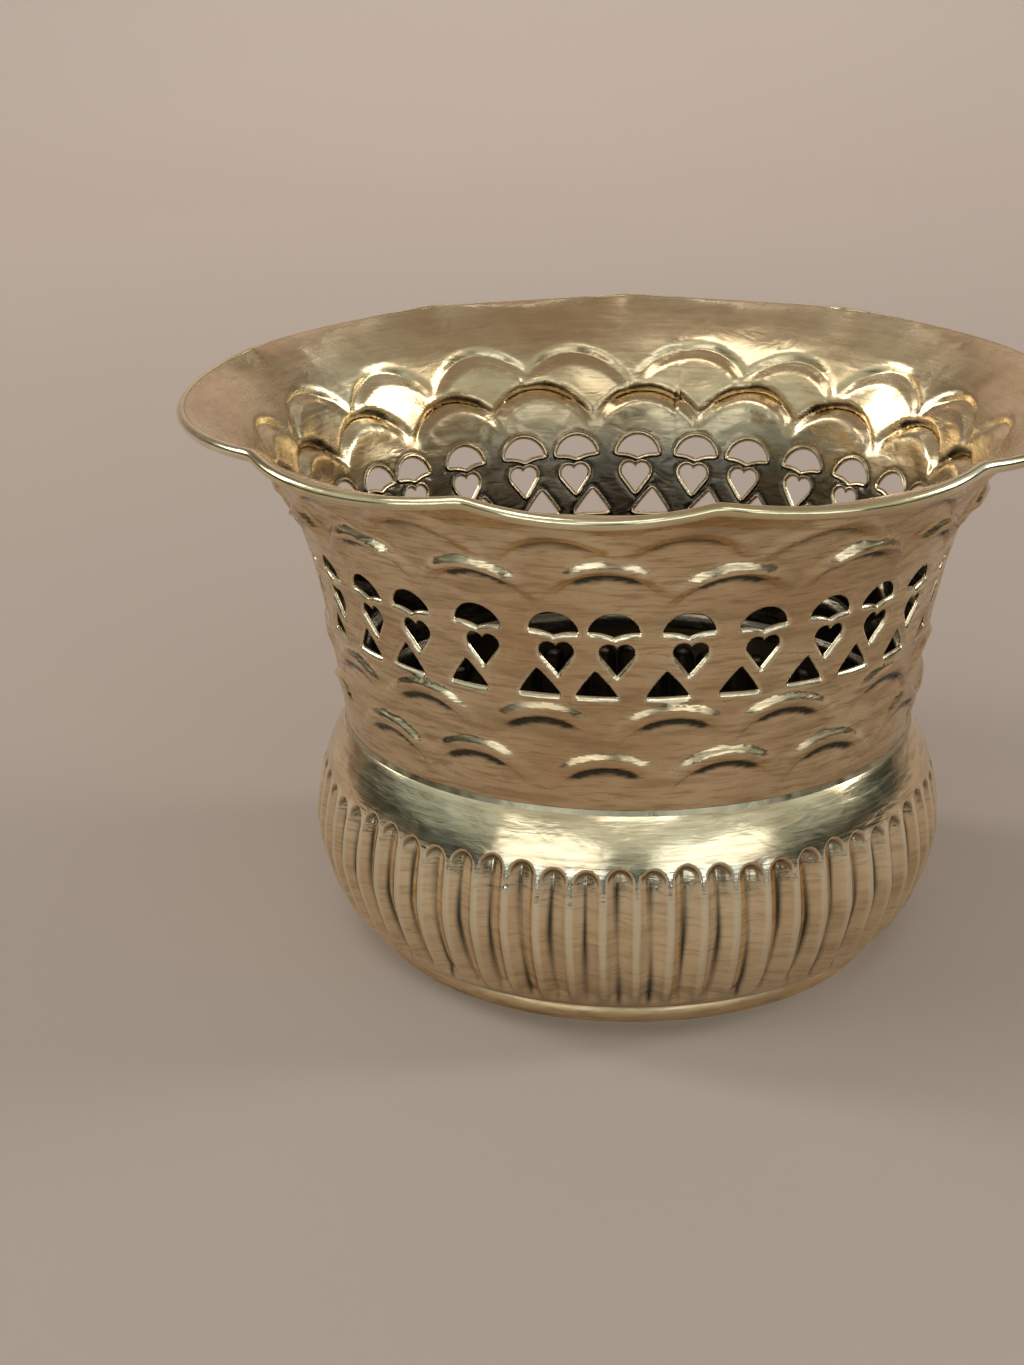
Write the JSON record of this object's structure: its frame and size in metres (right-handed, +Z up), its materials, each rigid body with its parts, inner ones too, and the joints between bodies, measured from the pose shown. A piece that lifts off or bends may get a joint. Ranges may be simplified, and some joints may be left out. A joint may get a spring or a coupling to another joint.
{
  "type": "pierced brass planter",
  "caption": "Round brass planter: a flared pierced collar with a scalloped rolled rim on a squat fluted bowl with a foot ring, for holding a pot, flowers or floating petals.",
  "frame": {"origin": "centre of the footprint, on the plane that the foot ring rests on", "axes": "+Z up along the axis of revolution, -Y towards the side seen in front"},
  "size_m": [0.1754, 0.176, 0.1158],
  "materials": {
    "collar_brass": "polished, hand-hammered and embossed",
    "rim_brass": "polished",
    "wire_brass": "drawn",
    "bowl_brass": "mirror polished",
    "foot_brass": "polished",
    "solder": "soft solder, tarnished"
  },
  "bodies": {
    "root": {"pierced_collar": "collar_brass", "rim_roll": "rim_brass", "rim_wire": "wire_brass", "gadrooned_bowl": "bowl_brass", "foot_ring": "foot_brass", "waist_solder": "solder", "foot_solder": "solder"}
  },
  "joints": []
}
